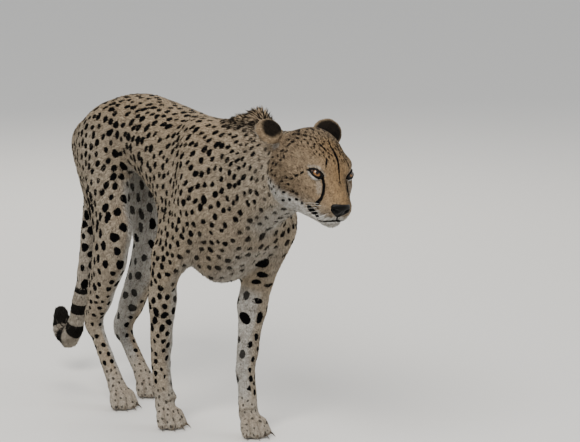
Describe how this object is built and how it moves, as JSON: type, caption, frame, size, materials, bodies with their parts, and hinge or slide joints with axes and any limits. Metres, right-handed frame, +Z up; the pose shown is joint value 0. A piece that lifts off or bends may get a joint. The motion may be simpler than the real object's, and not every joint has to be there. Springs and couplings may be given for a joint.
{
  "type": "standing cheetah figure",
  "caption": "Life-size cheetah in a slow walk with lowered head, standing on its paws; a still display model.",
  "frame": {"origin": "centre of the model's box, on the floor under the belly", "axes": "+Z up; the animal faces -Y; its left side is +X"},
  "size_m": [0.2724, 1.4448, 0.8355],
  "materials": {
    "spotted_coat": "short dense fur, buff-grey with near-black spots",
    "pale_coat": "short soft fur, off-white",
    "dark_coat": "short fur, near-black",
    "eye": "wet and glossy, amber iris",
    "nose_leather": "fine-pebbled skin, slightly moist",
    "claw_horn": "dull horn, worn at the tip"
  },
  "bodies": {
    "root": {"head": "spotted_coat", "neck": "spotted_coat", "chest": "spotted_coat", "loin": "spotted_coat", "rump": "spotted_coat", "shoulder_left": "spotted_coat", "shoulder_right": "spotted_coat", "forearm_left": "spotted_coat", "forearm_right": "spotted_coat", "thigh_left": "spotted_coat", "thigh_right": "spotted_coat", "shank_left": "spotted_coat", "shank_right": "spotted_coat", "hind_cannon_left": "spotted_coat", "hind_cannon_right": "spotted_coat", "tail_root": "spotted_coat", "tail_middle": "spotted_coat", "tail_end": "spotted_coat", "lower_jaw": "pale_coat", "fore_paw_left": "pale_coat", "fore_paw_right": "pale_coat", "hind_paw_left": "pale_coat", "hind_paw_right": "pale_coat", "tail_tip": "dark_coat", "ear_left": "dark_coat", "ear_right": "dark_coat", "eye_left": "eye", "eye_right": "eye", "nose": "nose_leather", "claw_fore_left_1": "claw_horn", "claw_fore_left_2": "claw_horn", "claw_fore_left_3": "claw_horn", "claw_fore_left_4": "claw_horn", "claw_fore_right_1": "claw_horn", "claw_fore_right_2": "claw_horn", "claw_fore_right_3": "claw_horn", "claw_fore_right_4": "claw_horn", "claw_hind_left_1": "claw_horn", "claw_hind_left_2": "claw_horn", "claw_hind_left_3": "claw_horn", "claw_hind_left_4": "claw_horn", "claw_hind_right_1": "claw_horn", "claw_hind_right_2": "claw_horn", "claw_hind_right_3": "claw_horn", "claw_hind_right_4": "claw_horn"}
  },
  "joints": []
}
